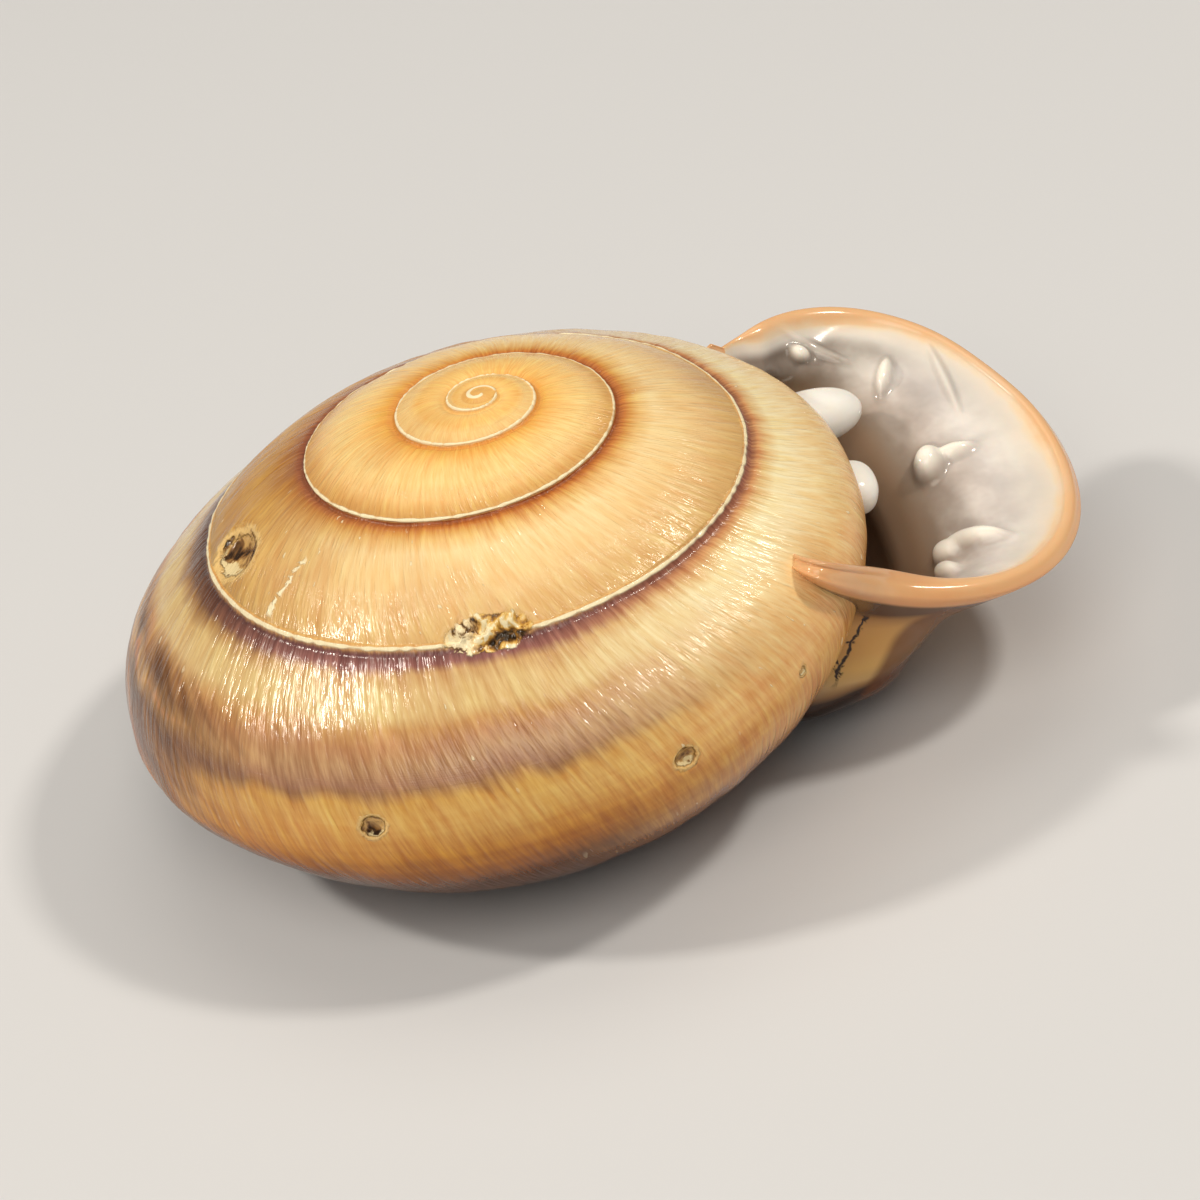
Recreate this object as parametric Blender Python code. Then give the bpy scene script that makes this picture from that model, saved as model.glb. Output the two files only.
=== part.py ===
"""Land snail shell with an upturned, toothed mouth, in metres, +Z up.

The shell is designed about its coiling axis: the apex is the origin, +Z points out of the
spire, and the whorls wind clockwise seen from above, so the mouth is on the +X side. A
"turn" counts whorls from the apex. Two closed lofts make it: the coil, a lens of whorls,
and the neck, the last half whorl, which leaves the coil, bends up and flares into the lip.
Teeth and pits are joined on and cut out with Booleans, and the shell is then moved to stand
on its base ring, with the origin under the middle of its box.
"""

import math

import bmesh
import bpy
import numpy as np
from mathutils import Matrix, Quaternion, Vector

MM = 0.001

# Coil
TURN_RADII = np.array([0.69, 2.19, 5.17, 9.87, 14.1, 19.9]) * MM  # at turns 0, 1, 2...
LAST_TURN = 5
DOME_REACH = 15.87 * MM  # the radius at which the dome has dropped by the two heights below
CONE_DROP = 2.84 * MM
DOME_DROP = 5.57 * MM
DOME_POWER = 2.54
SAG = 2.5 * MM  # how far the last whorl's outer edge sinks below the dome
SAG_TURNS = (3.6, 4.5)
NECK_TURNS = (4.66, 4.8)  # the turns over which the coil's last whorl gives way to the neck
SWELL = 0.2  # how far a whorl's profile starts above its chord and ends below it, in radians
ROUND_TURNS = (3.55, 4.1)  # the turns over which the outer edge rounds over to upright
BASE_RING = 4.6 * MM  # the shell stands on this ring, a little lower than the neck
BASE_LEVEL = -17.45 * MM
BASE_DIMPLE = 0.8 * MM
BASE_FULLNESS = 0.29  # of the underside, and what it gains round the turn where it is fullest
BASE_DRAW = 0.56  # how far out the underside's curve is drawn, as a share of its width
FULLEST = {"gain": 0.18, "turn": 4.3, "width": 0.1}

# Neck. Each station is the centre's direction in degrees, distance and level in millimetres,
# the section's pitch and outward lean in degrees, and its half sizes outward and across.
STATIONS = np.array(
    [
        (78.0, 12.4, -11.9, 0.0, 0.0, 4.9, 4.8),
        (48.0, 12.6, -12.2, 16.0, 2.0, 4.9, 4.8),
        (16.4, 11.3, -11.9, 54.0, 6.0, 4.95, 7.6),
        (10.8, 12.4, -10.7, 65.5, 10.0, 4.5, 8.15),
        (8.6, 14.0, -9.35, 76.0, 14.0, 5.2, 8.35),
        (8.8, 15.8, -8.3, 79.0, 15.6, 7.8, 9.6),
    ]
)
RIM = len(STATIONS) - 1
FIRST_STATION = 0.6
NECK_FROM, NECK_WHOLE, NECK_TO = 4.56, 4.66, 4.74  # turns: inside the coil, level with it, free
NECK_SUNK, NECK_PROUD = -0.04, 0.01  # swelling of the neck's section at those turns
NECK_FOOT = 0.8  # how far down the underside its first sections reach
HOLLOW_TO = 4.72
HOLLOW_SHRINK = -0.2
SQUARENESS = 2.15
WALL = 0.95 * MM
FLARE_OUT, FLARE_IN = 0.38 * MM, 0.25 * MM  # added behind and ahead, where the lip flares
FLARE_STATION, FLARE_REACH = 4.3, 0.8
FLARE_RAMPS = (-215.0, -175.0), (55.0, 90.0)  # the ring angles where that fades in and out
RIM_ROUND = 0.5 * MM
# Swellings of the neck's section: (ring angle, its width, station, its width, out, ahead), the
# last two in millimetres. The first is the ear, the lip's front end, which climbs on the coil.
SWELLINGS = (
    (-131.0, 12.0, 5.4, 1.0, 4.7, 3.3),
    (118.0, 22.0, 5.4, 1.5, -0.6, 0.0),
    (28.0, 18.0, 5.0, 1.0, -0.3, 0.0),
    (-128.0, 22.0, 1.9, 0.8, 1.5, 0.0),
    (-50.0, 32.0, 2.9, 0.9, -0.4, 0.0),
)

# Teeth: (station, ring angle, turned by, half sizes inward, along and sideways), in degrees
# and millimetres. One that isn't turned lies towards the rim.
LIP_TEETH = (
    (4.4, 89.0, -84.0, 0.5, 0.45, 0.32),
    (4.26, 46.0, 44.0, 0.55, 0.85, 0.28),
    (3.9, 2.0, 68.0, 0.95, 0.75, 0.55),
    (4.18, 3.0, -4.0, 0.5, 1.0, 0.3),
    (4.14, -38.0, -16.0, 0.6, 1.35, 0.4),
    (3.8, -38.0, -16.0, 0.6, 0.6, 0.5),
    (3.86, -52.0, -42.0, 0.5, 0.7, 0.4),
)
# (turn, share of the way down the coil's side, half sizes outward, along the whorl and up)
COIL_TEETH = (
    (4.94, 0.055, 2.8, 1.3, 1.05),
    (4.996, 0.09, 1.0, 1.3, 0.95),
)

# Pits: (turn, share across the whorl's top, half sizes along the whorl, across it and deep).
PITS = (
    (3.275, 1.0, 1.8, 0.85, 0.4),
    (3.482, 0.77, 1.0, 1.1, 0.4),
    (4.33, 0.885, 0.55, 0.42, 0.35),
    (4.201, 0.98, 0.5, 0.42, 0.35),
)

COLUMNS = 64  # steps round one turn
WHORL_ROWS = 4
BASE_ROWS = 8
# The neck's ring of points: (degrees to go to, points on the way), starting at its top corner.
RING_START = 125.0
RING_ARCS = ((0.0, 10), (-85.0, 8), (-115.0, 6), (-145.0, 8), (-235.0, 8))
PLAIN_TOP, PLAIN_SIDE = 10, 14

SHELL_COLOUR = (0.62, 0.42, 0.17, 1.0)
SHELL_ROUGHNESS = 0.3


def smooth_step(span, at):
    """0 before the span, 1 after it, and an even S in it."""
    share = np.clip((np.asarray(at, float) - span[0]) / (span[1] - span[0]), 0.0, 1.0)
    return share * share * (3.0 - 2.0 * share)


def bump(at, centre, width):
    return np.exp(-(((at - centre) / width) ** 2))


def through(values, at):
    """A smooth curve through values, which stand at 0, 1, 2 and so on, read at the places at."""
    at = np.asarray(at, float)
    padded = np.concatenate([2 * values[:1] - values[1:2], values, 2 * values[-1:] - values[-2:-1]])
    index = np.clip(np.floor(at).astype(int), 0, len(values) - 2)
    f = at - index
    if values.ndim > 1:
        f = f[..., None]
    a, b, c, d = (padded[index + step] for step in range(4))
    cubic = 3 * (b - c) + d - a
    square = 2 * a - 5 * b + 4 * c - d
    return b + 0.5 * f * (c - a + f * (square + f * cubic))


def blend(a, b, share):
    return a + share * (b - a)


def bezier(a, b, c, d, f):
    f = np.asarray(f, float)[..., None]
    return (1 - f) ** 3 * a + 3 * (1 - f) ** 2 * f * b + 3 * (1 - f) * f * f * c + f**3 * d


def pair(radius, level):
    return np.stack(np.broadcast_arrays(radius, level), -1)


def whorl_edge(turn, whole=False):
    """(radius, level) of a whorl's outer edge. A whole whorl goes on where the neck takes over."""
    stays = 1.0 if whole else 1.0 - smooth_step(NECK_TURNS, turn)
    before = np.maximum(turn - 1, 0)
    radius = blend(through(TURN_RADII, before), through(TURN_RADII, turn), stays)
    sag = SAG * blend(smooth_step(SAG_TURNS, before), smooth_step(SAG_TURNS, turn), stays)
    share = radius / DOME_REACH
    return pair(radius, -CONE_DROP * share - DOME_DROP * share**DOME_POWER - sag)


def whorl_top(turn, across, whole=False):
    """(radius, level) on a whorl, from its inner suture, across 0, to its outer edge, across 1."""
    inner = whorl_edge(np.maximum(turn - 1, 0))
    outer = whorl_edge(turn, whole)
    chord = outer - inner
    length = np.hypot(chord[..., 0], chord[..., 1])[..., None]
    slope = np.arctan2(chord[..., 1], chord[..., 0])
    rounding = smooth_step(ROUND_TURNS, turn)
    leaves = slope + SWELL
    arrives = slope - SWELL
    arrives = arrives + rounding * (-math.pi / 2 - arrives)
    handle = (0.34 + 0.1 * rounding)[..., None] * length
    first = inner + handle * pair(np.cos(leaves), np.sin(leaves))
    second = outer - handle * pair(np.cos(arrives), np.sin(arrives))
    return bezier(inner, first, second, outer, across)


def underside(turn, down, whole=False):
    """(radius, level) from the outer edge, down 0, to the ring that the shell stands on, down 1."""
    top = whorl_edge(turn, whole)
    ring = pair(BASE_RING + 0 * top[..., 0], BASE_LEVEL)
    stays = 1.0 if whole else 1.0 - smooth_step(NECK_TURNS, turn)
    gains = (bump(at, FULLEST["turn"], FULLEST["width"]) for at in (turn - 1, turn))
    fullness = BASE_FULLNESS + FULLEST["gain"] * blend(*gains, stays)
    drop = pair(0.0, fullness * (BASE_LEVEL - top[..., 1]))
    draw = pair(BASE_DRAW * (top[..., 0] - BASE_RING), 0.0)
    return bezier(top, top + drop, ring + draw, ring, down)


def place(turn, profile):
    """Points in space of (radius, level) pairs at a turn."""
    angle = -2 * math.pi * np.asarray(turn, float)
    radius, level = profile[..., 0], profile[..., 1]
    return np.stack([radius * np.cos(angle), radius * np.sin(angle), level], -1)


def plain_ring(turn, swelling):
    """A closed section of the last whorl, swollen by a share about its middle."""
    top = whorl_top(np.full(PLAIN_TOP, turn), np.arange(PLAIN_TOP) / PLAIN_TOP, True)
    down = np.linspace(0, NECK_FOOT, PLAIN_SIDE, endpoint=False)
    side = underside(np.full(PLAIN_SIDE, turn), down, True)
    count = sum(points for _, points in RING_ARCS) - PLAIN_TOP - PLAIN_SIDE
    foot, corner = underside(np.array(turn), NECK_FOOT, True), top[0]
    middle = 0.5 * (foot + corner)
    inside = bezier(foot, 0.7 * foot + 0.3 * middle, middle, corner, np.arange(count) / count)
    loop = np.concatenate([top, side, inside])
    centre = np.array([through(TURN_RADII, turn) - 5 * MM, -10.8 * MM])
    return place(np.full(len(loop), turn), centre + (loop - centre) * (1 + swelling))


def ring_angles():
    stops = [RING_START] + [stop for stop, _ in RING_ARCS]
    arcs = [
        np.linspace(start, stop, points, endpoint=False)
        for start, (stop, points) in zip(stops, RING_ARCS)
    ]
    return np.concatenate(arcs)


def section_frame(station):
    """The centre of the neck's section, and its directions outward, across and ahead."""
    direction, distance, level, pitch, lean, _, _ = through(STATIONS, station)
    direction, pitch, lean = np.radians([direction, pitch, lean])
    out = np.array([math.cos(direction), math.sin(direction), 0.0])
    along = np.array([math.sin(direction), -math.cos(direction), 0.0])
    up = np.array([0.0, 0.0, 1.0])
    rising = math.cos(pitch) * along + math.sin(pitch) * up
    across = math.cos(pitch) * up - math.sin(pitch) * along
    outward = math.cos(lean) * out - math.sin(lean) * rising
    ahead = math.cos(lean) * rising + math.sin(lean) * out
    return (distance * out + level * up) * MM, outward, across, ahead


def neck_ring(station, angles, inset=0.0, lift=0.0):
    """A section of the neck, drawn in by inset and moved ahead by lift, at some ring angles."""
    centre, outward, across, ahead = section_frame(station)
    half_out, half_across = through(STATIONS, station)[5:] * MM - inset
    cosine, sine = np.cos(np.radians(angles)), np.sin(np.radians(angles))
    out = half_out * np.sign(cosine) * np.abs(cosine) ** (2 / SQUARENESS)
    over = half_across * np.sign(sine) * np.abs(sine) ** (2 / SQUARENESS)
    grown, moved = 1.0, lift
    for angle, width, at, reach, outwards, forwards in SWELLINGS:
        swelling = bump(angles, angle, width) * bump(station, at, reach) * MM
        grown = grown + swelling * outwards / half_across
        moved = moved + swelling * forwards
    ways = np.stack([out * grown, over * grown, moved], -1)
    return centre + ways @ np.stack([outward, across, ahead])


def flare(station, angles):
    fades_in, fades_out = FLARE_RAMPS
    around = smooth_step(fades_in, angles) * (1 - smooth_step(fades_out, angles))
    return around * bump(station, FLARE_STATION, FLARE_REACH)


def hollow_ring(station, angles):
    """A section of the hollow inside the neck."""
    return neck_ring(station, angles, WALL, FLARE_IN * flare(station, angles))


def neck_rings():
    """The neck's sections in order: out to the lip, over its rim and back down the hollow."""
    angles = ring_angles()
    rings = []
    for turn in np.linspace(NECK_FROM, NECK_TO, 7):
        swelling = NECK_SUNK + (NECK_PROUD - NECK_SUNK) * smooth_step((NECK_FROM, NECK_WHOLE), turn)
        rings.append(plain_ring(turn, swelling))
    for station in np.linspace(FIRST_STATION, RIM, 15):
        rings.append(neck_ring(station, angles, 0.0, -FLARE_OUT * flare(station, angles)))
    for roll in np.radians([45, 90, 135]):
        share = (1 - math.cos(roll)) / 2
        lift = blend(-FLARE_OUT, FLARE_IN, share) * flare(RIM, angles)
        rings.append(neck_ring(RIM, angles, share * WALL, lift + RIM_ROUND * math.sin(roll)))
    for station in np.linspace(RIM, FIRST_STATION, 12):
        rings.append(hollow_ring(station, angles))
    for turn in (NECK_TO, HOLLOW_TO):
        rings.append(plain_ring(turn, HOLLOW_SHRINK))
    return rings


def add_grid(mesh, points):
    rows = [[mesh.verts.new(point) for point in row] for row in points]
    for row, following in zip(rows, rows[1:]):
        for a, b, c, d in zip(row, row[1:], following[1:], following):
            mesh.faces.new((a, b, c, d))


def add_fan(mesh, ring, hub):
    ring = [mesh.verts.new(point) for point in ring]
    hub = mesh.verts.new(hub)
    for a, b in zip(ring, ring[1:] + ring[:1]):
        mesh.faces.new((a, b, hub))


def add_object(mesh, name, collection):
    """The finished bmesh as an object, its repeated points merged and its faces turned out."""
    bmesh.ops.remove_doubles(mesh, verts=mesh.verts, dist=0.002 * MM)
    bmesh.ops.recalc_face_normals(mesh, faces=mesh.faces)
    data = bpy.data.meshes.new(name)
    mesh.to_mesh(data)
    mesh.free()
    data.shade_smooth()
    made = bpy.data.objects.new(name, data)
    collection.objects.link(made)
    return made


def grid_of(turns, shares):
    """Two arrays of one shape: each row has one turn, and each column one share."""
    return np.meshgrid(turns, shares, indexing="ij")


def build_coil(collection):
    mesh = bmesh.new()
    turns = np.linspace(0, LAST_TURN, LAST_TURN * COLUMNS + 1)
    turn, across = grid_of(turns, np.linspace(0, 1, WHORL_ROWS + 1))
    add_grid(mesh, place(turn, whorl_top(turn, across)))
    turn, down = grid_of(turns[-COLUMNS - 1 :], np.linspace(0, 1, BASE_ROWS + 1))
    add_grid(mesh, place(turn, underside(turn, down)))
    around = turns[:COLUMNS]
    tip = pair(TURN_RADII[0], whorl_edge(0.0)[1])
    base = pair(BASE_RING, BASE_LEVEL)
    add_fan(mesh, place(around, tip + 0 * around[:, None]), (0, 0, 0))
    add_fan(mesh, place(around, base + 0 * around[:, None]), (0, 0, BASE_LEVEL + BASE_DIMPLE))
    return add_object(mesh, "shell", collection)


def build_neck(collection):
    mesh = bmesh.new()
    rings = neck_rings()
    add_grid(mesh, [np.concatenate([ring, ring[:1]]) for ring in rings])
    for ring in (rings[0], rings[-1]):
        add_fan(mesh, ring, ring.mean(axis=0))
    return add_object(mesh, "neck", collection)


def add_blob(name, centre, directions, half_sizes, collection):
    """An ellipsoid with its half sizes in millimetres along three directions."""
    mesh = bmesh.new()
    bmesh.ops.create_icosphere(mesh, subdivisions=2, radius=1.0)
    axes = [Vector(way).normalized() * size * MM for way, size in zip(directions, half_sizes)]
    turned = Matrix(axes).transposed().to_4x4()
    bmesh.ops.transform(mesh, matrix=Matrix.Translation(Vector(centre)) @ turned, verts=mesh.verts)
    return add_object(mesh, name, collection)


def build_teeth(collection):
    teeth = []
    for number, (station, angle, turned, *half_sizes) in enumerate(LIP_TEETH):
        at = np.array([angle])
        point = hollow_ring(station, at)[0]
        along = Vector((hollow_ring(station + 0.1, at) - hollow_ring(station - 0.1, at))[0])
        around = Vector((hollow_ring(station, at + 1) - hollow_ring(station, at - 1))[0])
        inward = along.cross(around)
        along.rotate(Quaternion(inward, math.radians(turned)))
        ways = (inward, along, inward.cross(along))
        teeth.append(add_blob(f"lip_tooth_{number}", point, ways, half_sizes, collection))
    for number, (turn, down, *half_sizes) in enumerate(COIL_TEETH):
        point = place(turn, underside(np.array(turn), down))
        ahead = place(turn + 0.01, underside(np.array(turn + 0.01), down)) - point
        out = np.cross(ahead, place(turn, underside(np.array(turn), down + 0.05)) - point)
        ways = (out, ahead, np.cross(out, ahead))
        teeth.append(add_blob(f"coil_tooth_{number}", point, ways, half_sizes, collection))
    return teeth


def build_pits(collection):
    pits = []
    for number, (turn, across, *half_sizes) in enumerate(PITS):
        point = place(turn, whorl_top(np.array(turn), across))
        ahead = place(turn + 0.01, whorl_top(np.array(turn + 0.01), across)) - point
        over = place(turn, whorl_top(np.array(turn), across - 0.05)) - point
        ways = (ahead, np.cross(np.cross(ahead, over), ahead), np.cross(ahead, over))
        pits.append(add_blob(f"pit_{number}", point, ways, half_sizes, collection))
    return pits


def combine(target, others, operation):
    for other in others:
        modifier = target.modifiers.new(f"{operation.lower()} {other.name}", "BOOLEAN")
        modifier.operation = operation
        modifier.solver = "EXACT"
        modifier.use_self = True
        modifier.object = other


def set_down(shell, helpers):
    """Moves the shell so that the origin is under the middle of its box."""
    graph = bpy.context.evaluated_depsgraph_get()
    corners = shell.evaluated_get(graph).data.vertices
    points = np.array([corner.co for corner in corners])
    low, high = points.min(axis=0), points.max(axis=0)
    for piece in (shell, *helpers):
        piece.location = (-(low[0] + high[0]) / 2, -(low[1] + high[1]) / 2, -low[2])


def shell_material():
    material = bpy.data.materials.new("shell")
    material.use_nodes = True
    surface = material.node_tree.nodes["Principled BSDF"]
    surface.inputs["Base Color"].default_value = SHELL_COLOUR
    surface.inputs["Roughness"].default_value = SHELL_ROUGHNESS
    surface.inputs["Metallic"].default_value = 0.0
    return material


def main():
    for old in list(bpy.data.objects):
        bpy.data.objects.remove(old)
    parts = bpy.data.collections.new("land_snail_shell")
    cutters = bpy.data.collections.new("joined_and_cut")
    for collection in (parts, cutters):
        bpy.context.scene.collection.children.link(collection)

    shell = build_coil(parts)
    shell.data.materials.append(shell_material())
    joined = [build_neck(cutters), *build_teeth(cutters)]
    pits = build_pits(cutters)
    combine(shell, joined, "UNION")
    combine(shell, pits, "DIFFERENCE")
    for helper in (*joined, *pits):
        helper.hide_render = True
        helper.display_type = "WIRE"
    set_down(shell, (*joined, *pits))


main()
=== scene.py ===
"""Looks of the land snail shell: its fine relief, colours, gloss, light and camera.

The shell is worked out about its coiling axis, as its solid is: the apex is the origin, +Z
points out of the spire and the mouth is on the +X side. A "turn" counts whorls from the apex,
"across" goes from a whorl's inner suture to its outer edge, and "down" from there to the ring
that the shell stands on. The finished pieces are then moved into the frame.
"""

import math
from functools import reduce

import bpy
import numpy as np
from mathutils import Matrix, Vector, noise

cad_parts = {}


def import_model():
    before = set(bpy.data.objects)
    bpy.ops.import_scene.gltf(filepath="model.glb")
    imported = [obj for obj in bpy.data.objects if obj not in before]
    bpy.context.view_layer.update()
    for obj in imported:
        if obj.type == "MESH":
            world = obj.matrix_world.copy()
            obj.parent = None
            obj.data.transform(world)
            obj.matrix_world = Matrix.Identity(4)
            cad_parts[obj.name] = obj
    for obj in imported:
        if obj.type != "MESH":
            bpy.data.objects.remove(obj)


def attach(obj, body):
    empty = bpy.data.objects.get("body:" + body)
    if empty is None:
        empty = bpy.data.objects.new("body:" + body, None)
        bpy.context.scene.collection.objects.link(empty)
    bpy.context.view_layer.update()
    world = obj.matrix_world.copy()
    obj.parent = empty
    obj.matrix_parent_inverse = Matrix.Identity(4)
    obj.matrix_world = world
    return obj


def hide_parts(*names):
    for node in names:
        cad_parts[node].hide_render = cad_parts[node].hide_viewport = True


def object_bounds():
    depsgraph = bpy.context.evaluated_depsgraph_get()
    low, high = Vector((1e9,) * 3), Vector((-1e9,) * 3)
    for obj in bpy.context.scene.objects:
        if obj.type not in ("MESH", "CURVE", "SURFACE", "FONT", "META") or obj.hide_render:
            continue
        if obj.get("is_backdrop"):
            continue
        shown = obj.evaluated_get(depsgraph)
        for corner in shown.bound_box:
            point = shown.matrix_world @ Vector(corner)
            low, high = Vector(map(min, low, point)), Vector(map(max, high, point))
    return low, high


MM = 0.001

# The coil, as the solid has it: radii at turns 0, 1, 2..., then heights, in millimetres
TURN_RADII = np.array([0.69, 2.19, 5.17, 9.87, 14.1, 19.9])
LAST_TURN = 5
DOME_REACH, CONE_DROP, DOME_DROP, DOME_POWER = 15.87, 2.84, 5.57, 2.54
SAG, SAG_TURNS = 2.5, (3.6, 4.5)
NECK_TURNS = (4.66, 4.8)
SWELL, ROUND_TURNS = 0.2, (3.55, 4.1)
BASE_RING, BASE_LEVEL, BASE_DIMPLE = 4.6, -17.45, 0.8
BASE_FULLNESS, BASE_DRAW = 0.29, 0.56
FULLEST = {"gain": 0.18, "turn": 4.3, "width": 0.1}
HANDLE, HANDLE_GAIN = 0.34, 0.1  # of a whorl's curve, as shares of its width

# The neck, as the solid has it
STATIONS = np.array(
    [
        (78.0, 12.4, -11.9, 0.0, 0.0, 4.9, 4.8),
        (48.0, 12.6, -12.2, 16.0, 2.0, 4.9, 4.8),
        (16.4, 11.3, -11.9, 54.0, 6.0, 4.95, 7.6),
        (10.8, 12.4, -10.7, 65.5, 10.0, 4.5, 8.15),
        (8.6, 14.0, -9.35, 76.0, 14.0, 5.2, 8.35),
        (8.8, 15.8, -8.3, 79.0, 15.6, 7.8, 9.6),
    ]
)
RIM = len(STATIONS) - 1
FIRST_STATION = 0.6
NECK_FROM, NECK_WHOLE, NECK_TO = 4.56, 4.66, 4.74
NECK_SUNK, NECK_PROUD, NECK_FOOT = -0.04, 0.01, 0.8
HOLLOW_TO, HOLLOW_SHRINK = 4.72, -0.2
STATIONS_PER_TURN = 4
SECTION_INSIDE, SECTION_LEVEL = 5.0, -10.8  # a plain section's middle: in from its edge, and how low
SQUARENESS = 2.15
WALL, RIM_ROUND = 0.95, 0.5
LIP_ENDS, LIP_THIN = ((-143.0, -118.0), (106.0, 122.0)), 0.2
LIP_EDGE = (0.09, 0.55), (0.32, 0.86), (0.66, 0.66)  # share of the wall, and rise by the rounding
FLARE_OUT, FLARE_IN = 0.38, 0.25
FLARE_STATION, FLARE_REACH = 4.3, 0.8
FLARE_RAMPS = (-215.0, -175.0), (55.0, 90.0)
SWELLINGS = (
    (-131.0, 12.0, 5.4, 1.0, 4.7, 3.3),
    (118.0, 22.0, 5.4, 1.5, -0.6, 0.0),
    (28.0, 18.0, 5.0, 1.0, -0.3, 0.0),
    (-128.0, 22.0, 1.9, 0.8, 1.5, 0.0),
    (-50.0, 32.0, 2.9, 0.9, -0.4, 0.0),
)

# Teeth: (station, ring angle, turned by, half sizes inward, along and sideways)
LIP_TEETH = (
    (4.4, 89.0, -84.0, 0.5, 0.45, 0.32),
    (4.26, 46.0, 44.0, 0.55, 0.85, 0.28),
    (3.9, 2.0, 68.0, 0.95, 0.75, 0.55),
    (4.18, 3.0, -4.0, 0.5, 1.0, 0.3),
    (4.14, -38.0, -16.0, 0.6, 1.35, 0.4),
    (3.8, -38.0, -16.0, 0.6, 0.6, 0.5),
    (3.86, -52.0, -42.0, 0.5, 0.7, 0.4),
)
TOOTH_SLOPE, TOOTH_FOOT, TOOTH_FOOT_WIDTH, TOOTH_DEPTH = 0.92, 0.15, 1.7, 3.0
# Fold lines inside the lip, as low teeth, and how strongly they are painted white as a highlight along
# their crests
LIP_FOLDS = ((4.7, 32.0, 72.0, 0.2, 1.8, 0.2), (4.5, 84.0, -84.0, 0.14, 1.5, 0.25))
FOLD_PAINTED_HIGHLIGHT = 0.4
# A thicker roll at the lip's front, and a low swelling of the neck's skin over the coil's end
LIP_ROLL = {"angle": -114.0, "width": 20.0, "reach": 0.3, "height": 0.33}
COVER = {"station": 0.0, "reach": 0.75, "across": 0.5, "width": 0.42, "height": 0.3}
# Teeth on the coil: (turn, down, half sizes outward, along the whorl and up)
COIL_TEETH = (
    (4.94, 0.055, 2.8, 1.3, 1.05),
    (4.996, 0.09, 1.0, 1.3, 0.95),
)
COIL_TOOTH_BLUNT = 0.85
# Pits: (turn, across, half sizes along the whorl and across it, depth, height of the rim)
PITS = (
    (3.482, 0.77, 1.3, 1.05, 0.32, 0.05),
    (4.33, 0.885, 0.55, 0.42, 0.3, 0.05),
    (4.201, 0.98, 0.5, 0.4, 0.3, 0.09),
    (4.135, 1.0, 0.2, 0.2, 0.12, 0.05),
)
CHIP = {"turn": 3.275, "along": 1.8, "over": 0.8, "inward": 0.1, "deep": 0.4, "grain": 2.6}
CHIP_SUNK, CHIP_FADED = 0.4, 0.02  # how low its crumbs lie, and the share at which it ends

# Relief of the shell's skin, in millimetres
LEAN = 0.035  # turns that a growth line trails by, from a whorl's inner suture to its edge
RIDGE = {"height": 0.07, "inside": -0.08, "outside": 0.13, "turns": (3.4, 4.1), "width": 0.065}
BEADS, SWELLS = 30, 9  # of the ridge, in a turn: its beads at turn 1, more as the turns grow
SUTURE_STARTS, SUTURE_ENDS = (0.98, 1.02), (4.68, 4.74)
GROOVE = {"depth": 0.1, "beyond": 0.2, "width": 0.12}
PLUMP, PLUMP_FADES = 0.03, (2.4, 3.6)  # how far whorls swell, as a share of their width
APEX_RIDGE = {"height": 0.05, "start": 0.17, "width": 0.08, "rises": (0.0, 0.25)}
FOLDS = ((46, 0.03), (118, 0.018))  # growth folds: how many in a turn, and how high
FOLDS_GROW = (1.0, 3.4)

# Fineness
COLUMNS = 560
FACING = (0.0, 0.1, 0.55, 1.0), (0.0, 0.14, 0.74, 1.0)  # shares of a turn, and of its columns
WHORL_ROWS = 26
BASE_ROWS = 30
DISC_ROWS = 8
RING_START = 125.0
RING_ARCS = ((0.0, 10), (-85.0, 8), (-115.0, 6), (-145.0, 8), (-235.0, 8))
RING_FINER = 9
PLAIN_TOP, PLAIN_SIDE = 10, 14
RING_TOPS, RING_SIDES = PLAIN_TOP * RING_FINER, PLAIN_SIDE * RING_FINER
RING_REST = sum(points for _, points in RING_ARCS) * RING_FINER - RING_TOPS - RING_SIDES
BLOB_RISES, BLOB_BEARINGS = 33, 49
WELD = 0.001  # points this near each other, in millimetres, are one

# From the apex to the origin of the frame, under the middle of the shell's box
TO_FRAME = Vector((-3.095, -1.457, 17.45)) * MM

# The viewer's place: round the apex, in the shell's own directions
VIEW_RISE, VIEW_ROLL = math.radians(30.0), math.radians(-12.86)
VIEW_DISTANCE = 180.4
VIEW_AIM = (4.817, -8.25)  # from the apex to the middle of the view, to the right and up
LENS, SENSOR = 136.6, 36.0

# Soft lamps: (name, rise and bearing from the view's side in degrees, size in metres, watts)
LAMP_DISTANCE = 0.45
LAMPS = (
    ("left", 45.0, -92.0, 0.045, 0.78),
    ("right", 54.0, 82.0, 0.05, 0.74),
    ("front", 48.0, -12.0, 0.3, 0.84),
    ("back", 68.0, 165.0, 0.3, 0.34),
)
LAMP_COLOUR = "FFF6E8"
DAYLIGHT = 0.17


def smooth_step(span, at):
    """0 before the span, 1 after it, and an even S in it."""
    share = np.clip((np.asarray(at, float) - span[0]) / (span[1] - span[0]), 0.0, 1.0)
    return share * share * (3.0 - 2.0 * share)


def bump(at, centre, width):
    return np.exp(-(((at - centre) / width) ** 2))


def through(values, at):
    """A smooth curve through values, which stand at 0, 1, 2 and so on, read at the places at."""
    at = np.asarray(at, float)
    padded = np.concatenate([2 * values[:1] - values[1:2], values, 2 * values[-1:] - values[-2:-1]])
    index = np.clip(np.floor(at).astype(int), 0, len(values) - 2)
    f = at - index
    if values.ndim > 1:
        f = f.reshape(f.shape + (1,) * (values.ndim - 1))
    a, b, c, d = (padded[index + step] for step in range(4))
    cubic = 3 * (b - c) + d - a
    square = 2 * a - 5 * b + 4 * c - d
    return b + 0.5 * f * (c - a + f * (square + f * cubic))


def blend(a, b, share):
    return a + share * (b - a)


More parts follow.
